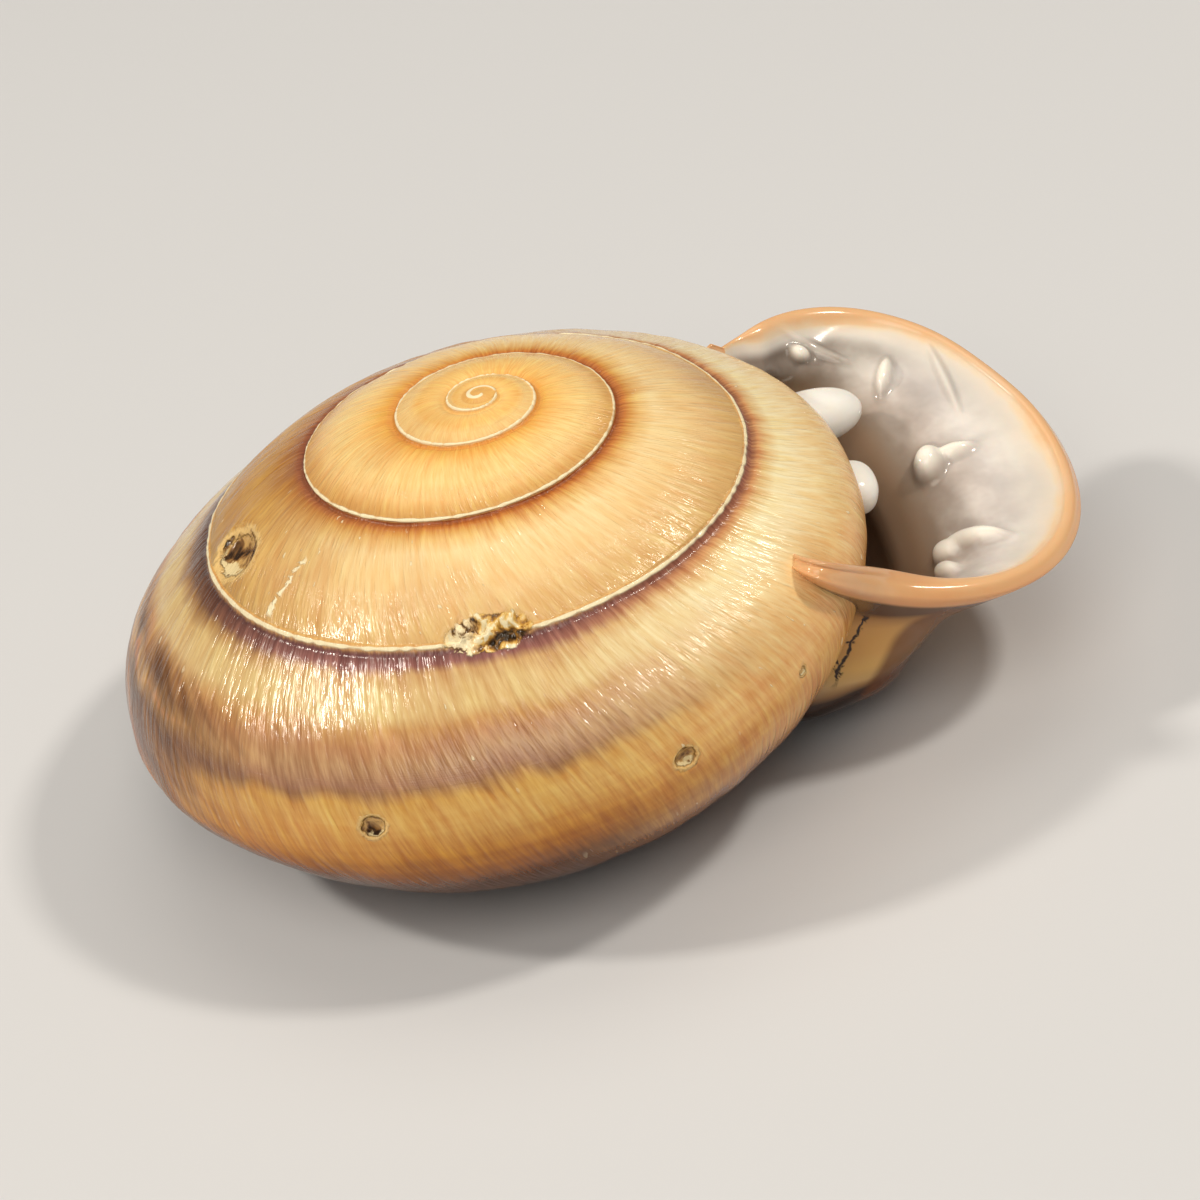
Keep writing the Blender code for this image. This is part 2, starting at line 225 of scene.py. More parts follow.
def bezier(a, b, c, d, f):
    f = np.asarray(f, float)[..., None]
    return (1 - f) ** 3 * a + 3 * (1 - f) ** 2 * f * b + 3 * (1 - f) * f * f * c + f**3 * d


def pair(radius, level):
    return np.stack(np.broadcast_arrays(radius, level), -1)


def whorl_edge(turn, whole=False):
    """(radius, level) of a whorl's outer edge. A whole whorl goes on where the neck takes over."""
    stays = 1.0 if whole else 1.0 - smooth_step(NECK_TURNS, turn)
    before = np.maximum(turn - 1, 0)
    radius = blend(through(TURN_RADII, before), through(TURN_RADII, turn), stays)
    sag = SAG * blend(smooth_step(SAG_TURNS, before), smooth_step(SAG_TURNS, turn), stays)
    share = radius / DOME_REACH
    return pair(radius, -CONE_DROP * share - DOME_DROP * share**DOME_POWER - sag)


def whorl_top(turn, across, whole=False):
    """(radius, level) on a whorl, from its inner suture, across 0, to its outer edge, across 1."""
    inner = whorl_edge(np.maximum(turn - 1, 0))
    outer = whorl_edge(turn, whole)
    chord = outer - inner
    length = np.hypot(chord[..., 0], chord[..., 1])[..., None]
    slope = np.arctan2(chord[..., 1], chord[..., 0])
    rounding = smooth_step(ROUND_TURNS, turn)
    leaves = slope + SWELL
    arrives = slope - SWELL
    arrives = arrives + rounding * (-math.pi / 2 - arrives)
    handle = (HANDLE + HANDLE_GAIN * rounding)[..., None] * length
    first = inner + handle * pair(np.cos(leaves), np.sin(leaves))
    second = outer - handle * pair(np.cos(arrives), np.sin(arrives))
    return bezier(inner, first, second, outer, across)


def underside(turn, down, whole=False):
    """(radius, level) from the outer edge, down 0, to the ring that the shell stands on, down 1."""
    top = whorl_edge(turn, whole)
    ring = pair(BASE_RING + 0 * top[..., 0], BASE_LEVEL)
    stays = 1.0 if whole else 1.0 - smooth_step(NECK_TURNS, turn)
    gains = (bump(at, FULLEST["turn"], FULLEST["width"]) for at in (turn - 1, turn))
    fullness = BASE_FULLNESS + FULLEST["gain"] * blend(*gains, stays)
    drop = pair(0.0, fullness * (BASE_LEVEL - top[..., 1]))
    draw = pair(BASE_DRAW * (top[..., 0] - BASE_RING), 0.0)
    return bezier(top, top + drop, ring + draw, ring, down)


def place(turn, profile):
    """Points in space of (radius, level) pairs at a turn."""
    angle = -2 * math.pi * np.asarray(turn, float)
    radius, level = profile[..., 0], profile[..., 1]
    return np.stack([radius * np.cos(angle), radius * np.sin(angle), level], -1)


def section_frame(station):
    """The centre of the neck's section, and its directions outward, across and ahead."""
    direction, distance, level, pitch, lean, _, _ = through(STATIONS, station)
    direction, pitch, lean = np.radians([direction, pitch, lean])
    out = np.array([math.cos(direction), math.sin(direction), 0.0])
    along = np.array([math.sin(direction), -math.cos(direction), 0.0])
    up = np.array([0.0, 0.0, 1.0])
    rising = math.cos(pitch) * along + math.sin(pitch) * up
    across = math.cos(pitch) * up - math.sin(pitch) * along
    outward = math.cos(lean) * out - math.sin(lean) * rising
    ahead = math.cos(lean) * rising + math.sin(lean) * out
    return distance * out + level * up, outward, across, ahead


def neck_ring(station, angles, inset=0.0, lift=0.0):
    """A section of the neck, drawn in by inset and moved ahead by lift, at some ring angles."""
    centre, outward, across, ahead = section_frame(station)
    half_out, half_across = (half - inset for half in through(STATIONS, station)[5:])
    cosine, sine = np.cos(np.radians(angles)), np.sin(np.radians(angles))
    out = half_out * np.sign(cosine) * np.abs(cosine) ** (2 / SQUARENESS)
    over = half_across * np.sign(sine) * np.abs(sine) ** (2 / SQUARENESS)
    grown, moved = 1.0, lift
    for angle, width, at, reach, outwards, forwards in SWELLINGS:
        swelling = bump(angles, angle, width) * bump(station, at, reach)
        grown = grown + swelling * outwards / half_across
        moved = moved + swelling * forwards
    ways = np.stack([out * grown, over * grown, moved + 0 * out], -1)
    return centre + ways @ np.stack([outward, across, ahead])


def flare(station, angles):
    fades_in, fades_out = FLARE_RAMPS
    around = smooth_step(fades_in, angles) * (1 - smooth_step(fades_out, angles))
    return around * bump(station, FLARE_STATION, FLARE_REACH)


def thinned(angles):
    """The share of the lip's thickness that is left, less where its ends run onto the coil."""
    front, back = LIP_ENDS
    return LIP_THIN + (1 - LIP_THIN) * smooth_step(front, angles) * (1 - smooth_step(back, angles))


def hollow_ring(station, angles):
    """A section of the hollow inside the neck."""
    return neck_ring(station, angles, WALL * thinned(angles), FLARE_IN * flare(station, angles))


def ring_angles():
    """The ring's angles, each of the solid's steps cut into finer ones."""
    stops = [RING_START] + [stop for stop, _ in RING_ARCS]
    arcs = [
        np.linspace(start, stop, points * RING_FINER, endpoint=False)
        for start, (stop, points) in zip(stops, RING_ARCS)
    ]
    return np.concatenate(arcs)


def plain_ring(turn, swelling):
    """A closed section of the last whorl, swollen by a share about its middle."""
    top = whorl_top(np.full(RING_TOPS, turn), np.arange(RING_TOPS) / RING_TOPS, True)
    down = np.linspace(0, NECK_FOOT, RING_SIDES, endpoint=False)
    side = underside(np.full(RING_SIDES, turn), down, True)
    foot, corner = underside(np.array(turn), NECK_FOOT, True), top[0]
    middle = 0.5 * (foot + corner)
    along = np.arange(RING_REST) / RING_REST
    inside = bezier(foot, 0.7 * foot + 0.3 * middle, middle, corner, along)
    loop = np.concatenate([top, side, inside])
    centre = np.array([through(TURN_RADII, turn) - SECTION_INSIDE, SECTION_LEVEL])
    return place(np.full(len(loop), turn), centre + (loop - centre) * (1 + swelling))


def ripples(at, seed):
    """Smooth noise from -1 to 1, about one swing to each step of at."""
    steps = int(np.max(at)) + 3
    return through(np.random.default_rng(seed).uniform(-1, 1, steps), at)


class Skin:
    """A mesh gathered from grids of points, each with relief, two marks and three traces."""

    def __init__(self):
        self.points, self.values, self.faces = [], [], []
        self.count = 0

    def add(self, points, marks, relief=0.0, traces=(0.0, 0.0, 0.0)):
        shape = points.shape[:2]
        index = self.count + np.arange(shape[0] * shape[1]).reshape(shape)
        a, b, c, d = index[:-1, :-1], index[1:, :-1], index[1:, 1:], index[:-1, 1:]
        self.faces.append(np.stack([a, b, c], -1).reshape(-1, 3))
        self.faces.append(np.stack([a, c, d], -1).reshape(-1, 3))
        values = [np.broadcast_to(value, shape).reshape(-1) for value in (relief, *traces, *marks)]
        self.points.append(points.reshape(-1, 3))
        self.values.append(np.stack(values, -1))
        self.count += index.size

    def made(self, name, material):
        """The object: repeated points made one, then raised by their relief."""
        points, values, faces = map(np.concatenate, (self.points, self.values, self.faces))
        cells = np.round(points / WELD).astype(np.int64)
        _, first, index = np.unique(cells, axis=0, return_index=True, return_inverse=True)
        index = index.reshape(-1)
        welded = index[faces]
        whole = (welded != np.roll(welded, 1, axis=1)).all(axis=1)
        faces, welded, points = faces[whole], welded[whole], points[first]
        relief, *traces = (np.bincount(index, value) / np.bincount(index) for value in values.T[:4])
        points = points + normals_of(points, welded) * relief[:, None]
        mesh = bpy.data.meshes.new(name)
        mesh.from_pydata((points * MM).tolist(), [], welded.tolist())
        marks = mesh.uv_layers.new(name="marks")
        marks.data.foreach_set("uv", values[faces, 4:].reshape(-1).astype(np.float32))
        kept = mesh.attributes.new("traces", "FLOAT_VECTOR", "POINT")
        kept.data.foreach_set("vector", np.stack(traces, -1).reshape(-1).astype(np.float32))
        mesh.transform(Matrix.Translation(TO_FRAME))
        mesh.materials.append(material)
        mesh.shade_smooth()
        piece = bpy.data.objects.new(name, mesh)
        bpy.context.scene.collection.objects.link(piece)
        return piece


def normals_of(points, faces):
    corners = points[faces]
    flat = np.cross(corners[:, 1] - corners[:, 0], corners[:, 2] - corners[:, 0])
    total = np.zeros_like(points)
    for corner in range(3):
        np.add.at(total, faces[:, corner], flat)
    return total / np.maximum(np.linalg.norm(total, axis=1, keepdims=True), 1e-12)


def spaced(rows):
    """Shares from 0 to 1, closest at both ends."""
    return 0.5 - 0.5 * np.cos(math.pi * np.linspace(0, 1, rows + 1))


def grid_of(turns, shares):
    return np.meshgrid(turns, shares, indexing="ij")


def growth(turn, share):
    """Growth folds, which run across a whorl a little behind its radius."""
    at = turn + LEAN * share
    strength = smooth_step(FOLDS_GROW, turn)
    height = 0
    for seed, (many, high) in enumerate(FOLDS):
        near = ripples(at * many, 10 + seed)
        far = ripples(at * many, 20 + seed)
        height = height + high * blend(near, far, np.clip(share, 0, 1))
    return strength * height


def sutures(turn, across):
    """Relief beside the sutures, and the share of the pale ridge that follows them."""
    width = np.linalg.norm(whorl_edge(turn) - whorl_edge(np.maximum(turn - 1, 0)), axis=-1)
    plump = PLUMP * width * np.sin(math.pi * across) * (1 - smooth_step(PLUMP_FADES, turn))
    relief, ridge = plump, 0
    for winds, away in ((turn, across * width), (turn + 1, (across - 1) * width)):
        shown = smooth_step(SUTURE_STARTS, winds) * (1 - smooth_step(SUTURE_ENDS, winds))
        shown = shown * (1 + 0.25 * ripples(winds * SWELLS, 33))
        beads = 0.8 + 0.3 * ripples(winds * winds * BEADS, 31)
        crest = blend(RIDGE["inside"], RIDGE["outside"], smooth_step(RIDGE["turns"], winds))
        line = shown * beads * bump(away, crest, RIDGE["width"])
        groove = shown * bump(away, crest + GROOVE["beyond"], GROOVE["width"])
        relief = relief + RIDGE["height"] * line - GROOVE["depth"] * groove
        ridge = ridge + line
    return relief, ridge


def axes_at(turn, across):
    """A place on a whorl's top, and the unit directions along the whorl and across it there."""
    point = place(turn, whorl_top(np.array(turn), across))
    ahead = place(turn + 0.01, whorl_top(np.array(turn + 0.01), across)) - point
    over = place(turn, whorl_top(np.array(turn), across - 0.05)) - point
    ahead /= np.linalg.norm(ahead)
    over -= ahead * (over @ ahead)
    return point, ahead, over / np.linalg.norm(over)


def pits(points):
    """Relief of the pits and their rims."""
    height = 0
    for turn, across, along, over, deep, rim in PITS:
        centre, ahead, aside = axes_at(turn, across)
        away = points - centre
        far = np.hypot(away @ ahead / along, away @ aside / over)
        height = height + rim * bump(far, 1.25, 0.3) - deep * np.exp(-(far**4))
    return height


def chip(points):
    """Relief of the broken patch at the suture, and how far a place is in it, from 0 to 1."""
    centre, ahead, aside = axes_at(CHIP["turn"], 1.0)
    away = points - centre
    along, over = away @ ahead / CHIP["along"], (away @ aside - CHIP["inward"]) / CHIP["over"]
    share = np.exp(-((along**2 + over**2) ** 2))
    height = np.zeros(share.shape)
    for index in map(tuple, np.argwhere(share > CHIP_FADED)):
        height[index] = noise.fractal(Vector(points[index]) * CHIP["grain"], 1.0, 2.0, 4) - CHIP_SUNK
    return CHIP["deep"] * share * height, share


def apex(around, share):
    """The first whorl's ridge, which winds out from the apex and meets the first suture."""
    ridge = blend(APEX_RIDGE["start"], 1.0, around) * TURN_RADII[0]
    line = bump(share * TURN_RADII[0], ridge, APEX_RIDGE["width"])
    return line * smooth_step(APEX_RIDGE["rises"], around)


def turn_steps():
    """Turns of the coil's columns, closer together where the shell faces the viewer."""
    within = np.interp(np.arange(COLUMNS) / COLUMNS, FACING[1], FACING[0])
    starts = np.arange(LAST_TURN)[:, None]
    return np.append((starts + within).reshape(-1), LAST_TURN)


def build_coil(material):
    skin = Skin()
    turns = turn_steps()
    turn, across = grid_of(turns, spaced(WHORL_ROWS))
    points = place(turn, whorl_top(turn, across))
    beside, ridge = sutures(turn, across)
    broken, worn = chip(points)
    relief = growth(turn, across) + beside + pits(points) + broken
    skin.add(points, (turn, across), relief, (ridge * (1 - worn), worn, 0.0))

    turn, down = grid_of(turns[-COLUMNS - 1 :], np.linspace(0, 1, BASE_ROWS + 1))
    points = place(turn, underside(turn, down))
    relief = growth(turn, 1 + down) * (1 - smooth_step((0.85, 1.0), down)) + pits(points)
    skin.add(points, (turn, 1 + down), relief)

    around, share = grid_of(turns[: COLUMNS + 1], np.linspace(0, 1, DISC_ROWS + 1))
    edge = pair(TURN_RADII[0], whorl_edge(0.0)[1])
    ridge = apex(around, share)
    disc = place(around, edge * share[..., None])
    skin.add(disc, (around, share - 1), APEX_RIDGE["height"] * ridge, (ridge, 0.0, 0.0))

    ring, hub = pair(BASE_RING, BASE_LEVEL), pair(0.0, BASE_LEVEL + BASE_DIMPLE)
    dimple = place(around, blend(ring, hub, share[..., None]))
    skin.add(dimple, (around, 2 + share))
    return skin.made("coil", material)


def neck_rings():
    """The neck's sections: their points, then each one's station and how far inside it is."""
    angles = ring_angles()
    rings = []
    for turn in np.linspace(NECK_FROM, NECK_TO, 7):
        swelling = NECK_SUNK + (NECK_PROUD - NECK_SUNK) * smooth_step((NECK_FROM, NECK_WHOLE), turn)
        rings.append((plain_ring(turn, swelling), STATIONS_PER_TURN * (turn - NECK_TO), 0))
    for station in np.linspace(FIRST_STATION, RIM, 15):
        ring = neck_ring(station, angles, 0.0, -FLARE_OUT * flare(station, angles))
        rings.append((ring, station, 0))
    for share, rise in LIP_EDGE:
        lift = blend(-FLARE_OUT, FLARE_IN, share) * flare(RIM, angles)
        thin = thinned(angles)
        ring = neck_ring(RIM, angles, share * WALL * thin, lift + rise * RIM_ROUND * thin)
        rings.append((ring, RIM + 0.1 * rise, share))
    for station in np.linspace(RIM, FIRST_STATION, 12):
        rings.append((hollow_ring(station, angles), station, 1))
    for turn in (NECK_TO, HOLLOW_TO):
        rings.append((plain_ring(turn, HOLLOW_SHRINK), 0.0, 1))
    return [np.array(column, float) for column in zip(*rings)]


def ring_across():
    """Where each point of a ring lies across a whorl: 0 to 1 on its top, 1 to 2 underneath."""
    top = np.arange(RING_TOPS) / RING_TOPS
    side = 1 + np.linspace(0, NECK_FOOT, RING_SIDES, endpoint=False)
    return np.concatenate([top, side, np.linspace(1 + NECK_FOOT, 2, RING_REST + 1)])


def finer_steps():
    """Where the finer sections stand among the solid's: closest at the lip and its teeth."""
    plain, gap, outside, roll, flared, deep = 6, 1, 14, 4, 6, 7
    counts = [3] * plain + [12] * gap + [3] * outside + [4] * roll + [12] * flared + [4] * deep
    steps = [number + np.arange(count) / count for number, count in enumerate(counts)]
    return np.concatenate([*steps, [len(counts)]])


def tooth_axes(station, angle, turned):
    """A tooth's foot on the hollow's wall, and its unit directions inward, along and sideways."""
    angle = np.array([angle])
    along = (hollow_ring(station + 0.1, angle) - hollow_ring(station - 0.1, angle))[0]
    around = (hollow_ring(station, angle + 1) - hollow_ring(station, angle - 1))[0]
    inward = np.cross(along, around)
    along, inward = along / np.linalg.norm(along), inward / np.linalg.norm(inward)
    aside = np.cross(inward, along)
    turned = math.radians(turned)
    cosine, sine = math.cos(turned), math.sin(turned)
    ways = inward, cosine * along + sine * aside, cosine * aside - sine * along
    return hollow_ring(station, angle)[0], *ways


def lip_teeth(points, teeth):
    """How far the hollow's wall rises into teeth, and how much of a place is tooth."""
    height, share = 0, 0
    for station, angle, turned, inwards, long, wide in teeth:
        centre, inward, along, aside = tooth_axes(station, angle, turned)
        away = points - centre
        far = np.hypot(away @ along / long, away @ aside / wide)
        near = np.abs(away @ inward) < TOOTH_DEPTH
        crown = near * np.exp(-((TOOTH_SLOPE * far) ** 4))
        foot = near * bump(far, 0, TOOTH_FOOT_WIDTH)
        height = np.maximum(height, inwards * blend(crown, foot, TOOTH_FOOT))
        share = np.maximum(share, crown)
    return height, share


def neck_relief(rings, stations, depths, angles, across):
    """Relief of the neck's skin, and how much of a place is painted white: the teeth, and the fold lines
    as a painted highlight.
    """
    inner = smooth_step((0.6, 1.0), depths)
    height, share = lip_teeth(rings, LIP_TEETH)
    # The fold lines also join the white share, as a painted highlight along their crests
    fold, pale = lip_teeth(rings, LIP_FOLDS)
    height, share = np.maximum(height, fold), np.maximum(share, FOLD_PAINTED_HIGHLIGHT * pale)
    roll = bump(stations, RIM, LIP_ROLL["reach"]) * bump(angles, LIP_ROLL["angle"], LIP_ROLL["width"])
    height = height + LIP_ROLL["height"] * roll
    cover = bump(stations, COVER["station"], COVER["reach"])
    cover = cover * bump(across, COVER["across"], COVER["width"]) * (1 - smooth_step((0.0, 0.4), depths))
    return height * inner + COVER["height"] * cover, share * inner


def build_neck(material):
    rings, stations, depths = neck_rings()
    steps = finer_steps()
    rings = through(rings, steps)
    rings = np.concatenate([rings, rings[:, :1]], axis=1)
    numbers = np.arange(len(stations))
    stations, depths = (np.interp(steps, numbers, each)[:, None] for each in (stations, depths))
    angles = np.append(ring_angles(), RING_ARCS[-1][0])[None, :]
    across = ring_across()
    # The second share marks the white teeth and the fold lines' painted highlight
    relief, tooth = neck_relief(rings, stations, depths, angles, across)
    skin = Skin()
    skin.add(rings, (stations, angles / 360), relief, (depths, tooth, across))
    for ring, depth in ((rings[0], 0.0), (rings[-1], 1.0)):
        hub = ring.mean(axis=0) + 0 * ring
        cap = [ring, hub] if depth else [hub, ring]
        skin.add(np.array(cap), (0.0, 0.0), 0.0, (depth, 0.0, 0.0))
    return skin.made("neck", material)


def blob(centre, ways, half_sizes, blunt):
    """Grid points of an ellipsoid, blunter as blunt falls below 1, in three directions."""
    rises = np.linspace(0, math.pi, BLOB_RISES)
    rise, bearing = grid_of(rises, np.linspace(0, 2 * math.pi, BLOB_BEARINGS))
    level = np.sin(rise)
    ball = np.stack([np.cos(rise), level * np.cos(bearing), level * np.sin(bearing)], -1)
    ball = np.sign(ball) * np.abs(ball) ** blunt
    return centre + (ball * np.array(half_sizes)) @ np.array(ways)


def coil_tooth_axes(turn, down):
    point = place(turn, underside(np.array(turn), down))
    ahead = place(turn + 0.01, underside(np.array(turn + 0.01), down)) - point
    out = np.cross(ahead, place(turn, underside(np.array(turn), down + 0.05)) - point)
    ways = (out, ahead, np.cross(out, ahead))
    return point, [way / np.linalg.norm(way) for way in ways]


def build_teeth(material):
    pieces = []
    for number, (turn, down, *half_sizes) in enumerate(COIL_TEETH):
        point, ways = coil_tooth_axes(turn, down)
        skin = Skin()
        skin.add(blob(point, ways, half_sizes, COIL_TOOTH_BLUNT), (0.0, 0.0))
        pieces.append(skin.made(f"coil_tooth_{number}", material))
    return pieces


def linear(code):
    """A colour written as six hex digits, as the linear values that a shader takes."""
    shares = [int(code[start : start + 2], 16) / 255 for start in (0, 2, 4)]
    values = [s / 12.92 if s <= 0.04045 else ((s + 0.055) / 1.055) ** 2.4 for s in shares]
    return (*values, 1.0)


class Finish:
    """A material, its nodes added one by one from plain values or other nodes' outputs."""

    def __init__(self, name):
        self.material = bpy.data.materials.new(name)
        self.material.use_nodes = True
        self.tree = self.material.node_tree
        self.surface = self.tree.nodes["Principled BSDF"]

    def put(self, socket, value):
        if isinstance(value, bpy.types.NodeSocket):
            self.tree.links.new(value, socket)
        elif value is not None:
            socket.default_value = value

    def node(self, kind, inputs=(), output=0, **settings):
        made = self.tree.nodes.new(kind)
        for name, value in settings.items():
            setattr(made, name, value)
        for socket, value in dict(inputs).items():
            self.put(made.inputs[socket], value)
        return made.outputs[output]

    def sum(self, operation, *values):
        return self.node("ShaderNodeMath", enumerate(values), operation=operation)

    def step(self, value, start, end):
        """0 at start and 1 at end, smooth between them."""
        inputs = {"Value": value, "From Min": start, "From Max": end}
        return self.node("ShaderNodeMapRange", inputs, interpolation_type="SMOOTHSTEP")

    def mixed(self, share, first, second, how="MIX"):
        inputs = {0: share, 6: first, 7: second}
        return self.node("ShaderNodeMix", inputs, output=2, data_type="RGBA", blend_type=how)

    def ramp(self, value, stops, reach=1.0):
        """A colour ramp over 0 to reach, its stops given as (place, colour code)."""
        value = self.sum("DIVIDE", value, reach)
        made = self.tree.nodes.new("ShaderNodeValToRGB")
        elements = made.color_ramp.elements
        while len(elements) < len(stops):
            elements.new(0.5)
        for element, (at, code) in zip(elements, stops):
            element.position = at / reach
            element.color = linear(code)
        self.put(made.inputs[0], value)
        return made.outputs[0]

    def point(self, x, y, z=0.0):
        return self.node("ShaderNodeCombineXYZ", {0: x, 1: y, 2: z})

    def grain(self, at, scale=1.0, detail=3.0, rough=0.55, warp=0.0):
        inputs = {"Vector": at, "Scale": scale, "Detail": detail, "Roughness": rough, "Distortion": warp}
        return self.node("ShaderNodeTexNoise", inputs)

    def parts_of(self, vector):
        split = self.tree.nodes.new("ShaderNodeSeparateXYZ")
        self.put(split.inputs[0], vector)
        return list(split.outputs)

    def place_in(self):
        """The place in the piece's own directions."""
        return self.node("ShaderNodeTexCoord", output=3)

    def marks(self):
        return self.parts_of(self.node("ShaderNodeUVMap", uv_map="marks"))[:2]

    def traces(self):
        return self.parts_of(self.node("ShaderNodeAttribute", output=1, attribute_name="traces"))

    def times(self, *values):
        return reduce(lambda first, second: self.sum("MULTIPLY", first, second), values)

    def plus(self, *values):
        return reduce(lambda first, second: self.sum("ADD", first, second), values)

    def highest(self, *values):
        return reduce(lambda first, second: self.sum("MAXIMUM", first, second), values)

    def rest(self, share):
        return self.sum("SUBTRACT", 1.0, share)

    def arc(self, angle, start, end):
        """0 at one ring angle and 1 at the other, both in degrees."""
        return self.step(angle, start / 360, end / 360)

    def toned(self, share, colour, noise_value, stops, how):
        """The colour with tones laid over it, by how high a noise stands."""
        return self.mixed(share, colour, self.ramp(noise_value, stops), how)

    def swing(self, noise_value, reach):
        """Noise about its middle, as a change of up to about reach."""
        return self.times(self.sum("SUBTRACT", noise_value, 0.5), 2 * reach)

    def hill(self, value, centre, width):
        """1 at the centre, and 0 from a width away on both sides."""
        away = self.sum("ABSOLUTE", self.sum("SUBTRACT", value, centre))
        return self.step(away, width, 0.0)

    def bumped(self, height, size, below=None):
        inputs = {"Height": height, "Strength": 1.0, "Distance": size * MM, "Normal": below}
        return self.node("ShaderNodeBump", inputs)

    def look(self, colour, roughness, normal=None):
        for name, value in (("Base Color", colour), ("Roughness", roughness), ("Normal", normal)):
            self.put(self.surface.inputs[name], value)

    def soften(self, weight, scale):
        """Light that scatters under the surface, over a scale in millimetres."""
        self.put(self.surface.inputs["Subsurface Weight"], weight)
        self.put(self.surface.inputs["Subsurface Scale"], scale * MM)


# Colours across a whorl, from its inner suture at 0 to its outer edge at 1 and underneath to 2
FIRST = (
    (0.0, "E8B468"), (0.06, "F2C478"), (0.15, "F6CC80"), (0.3, "F6C878"), (0.5, "F2C070"),
    (0.7, "F6CE88"), (0.85, "F0C884"), (0.94, "ECC080"), (1.0, "E4B878"),
)
SPIRE = (
    (0.0, "DA913F"), (0.04, "E29D4A"), (0.1, "EEB154"), (0.2, "F4BE68"), (0.35, "F8CC80"),
    (0.55, "F8D48E"), (0.75, "F4C884"), (0.88, "E0AE68"), (0.97, "CF9C5A"), (1.0, "C99455"),
)
MIDDLE = (
    (0.0, "9A5026"), (0.035, "AC622C"), (0.07, "C67C3A"), (0.11, "D89E52"), (0.18, "EAC07C"),
    (0.3, "F6D8A0"), (0.5, "F4D298"), (0.7, "EEC88E"), (0.88, "E2BA7C"), (1.0, "DAB072"),
)
SPIRE_LEFT = (
    (0.0, "804833"), (0.05, "905438"), (0.1, "A2683A"), (0.2, "B47A34"), (0.35, "C08A34"),
    (0.5, "C6923C"), (0.7, "BE8836"), (0.9, "B8883F"), (1.0, "B28B4D"),
)
LAST_RIGHT = (
    (0.0, "DDAC68"), (0.008, "D8A870"), (0.014, "7A4E40"), (0.05, "9C6450"), (0.085, "CE9262"),
    (0.13, "E8C48C"), (0.2, "F8E6B6"), (0.3, "F6E2B4"), (0.5, "F4D6A0"), (0.7, "F2CA8C"),
    (0.85, "EEBE7E"), (1.0, "E8B26C"), (1.08, "E0A254"), (1.18, "ECAC5C"), (1.28, "EAA85C"),
    (1.38, "B87838"), (1.46, "80501F"),
)
# Underneath, past 1.06, this ramp darkens towards the ring that the shell stands on: partly the shell's
# brown, partly painted shade
LAST_FRONT = (
    (0.0, "DDAC68"), (0.02, "D8A870"), (0.034, "70494A"), (0.09, "94625C"), (0.13, "D0A874"),
    (0.2, "DCBC84"), (0.3, "DABB82"), (0.38, "C59660"), (0.46, "B98860"), (0.56, "B68E69"),
    (0.68, "A87E64"), (0.72, "A67C58"), (0.79, "D6A45A"), (0.9, "E0AE60"), (1.0, "CE9042"),
    (1.06, "BC7A2A"), (1.13, "A05E14"), (1.2, "7C440A"), (1.27, "5A3008"), (1.8, "5E3410"),
)
# Underneath, this ramp too darkens towards the ring that the shell stands on: partly the shell's brown,
# partly painted shade
LAST_LEFT = (
    (0.0, "D49E58"), (0.026, "C89860"), (0.036, "58382E"), (0.1, "704B34"), (0.14, "A67C4A"),
    (0.2, "D8B87E"), (0.32, "DABC88"), (0.42, "B08050"), (0.5, "8A6240"), (0.585, "CCA068"),
    (0.68, "80583A"), (0.76, "9C6430"), (0.88, "86441A"), (1.0, "9A5C1C"), (1.08, "603608"),
    (1.3, "4A280A"), (1.8, "5E3410"),
)
WHORLS = (
    (SPIRE, 1.5, 2.2), (MIDDLE, 2.5, 2.85), (SPIRE_LEFT, 3.32, 3.56), (LAST_RIGHT, 3.72, 3.95),
    (LAST_FRONT, 4.13, 4.27), (LAST_LEFT, 4.36, 4.5),
)

# Tones laid over those colours: dark, even and light, by how high a noise stands
STREAKS = (0.3, "8A5A2A"), (0.5, "BBBBBB"), (0.7, "FFF2D0")
THREADS = (0.36, "5C4A40"), (0.5, "BCBCBC"), (0.64, "FFFFF4")
HAIRS = (0.36, "5C5048"), (0.5, "BCBCBC"), (0.64, "FFFFF8")
SPIRALS = (0.36, "806038"), (0.5, "BBBBBB"), (0.66, "FFF0CC")
SLANTS = (0.36, "4A2E1E"), (0.5, "BBBBBB"), (0.64, "FFECC0")
STAIN, CREAM = "B0703A", "FCEEC6"
# The broken patch and the pits; the pits' rims are golden, with a painted highlight laid in
BROKEN = (
    (0.36, "34240F"), (0.43, "80592A"), (0.49, "C4903E"), (0.54, "ECC26C"), (0.61, "FCF0C8"),
)
PITTED = (0.36, "301E0E"), (0.45, "80582E"), (0.56, "CCA262")
FLAKE, PIT_RIM_AND_HIGHLIGHT, DEPOSIT = "FFF0C8", "F0CC88", "EAD6A4"

# Noises of the skin: how many grains in a turn and across a whorl, and their detail. The first
# ones follow the growth lines, and the others the turns.
GROWTH_NOISES = {
    "broad": (60, 1.2, 3.0), "lines": (260, 3.0, 2.0), "fine": (560, 6.0, 2.0), "flecks": (230, 9, 1.0),
}
TURN_NOISES = {"threads": (40, 150, 2.0), "bands": (7, 14, 3.0), "slow": (24, 2.0, 2.0)}
# Relief of the skin's noises, in millimetres
RELIEF = {"broad": 0.05, "lines": 0.075, "fine": 0.042, "threads": 0.015, "marks": 0.12, "lip": 0.04}
COIL_IOR = 1.42

# Turns of the cream vein and of the coarser growth lines, and share of a turn of the flake
VEIN_AT, COARSE_AT, FLAKE_AT = 3.418, 4.17, 0.291


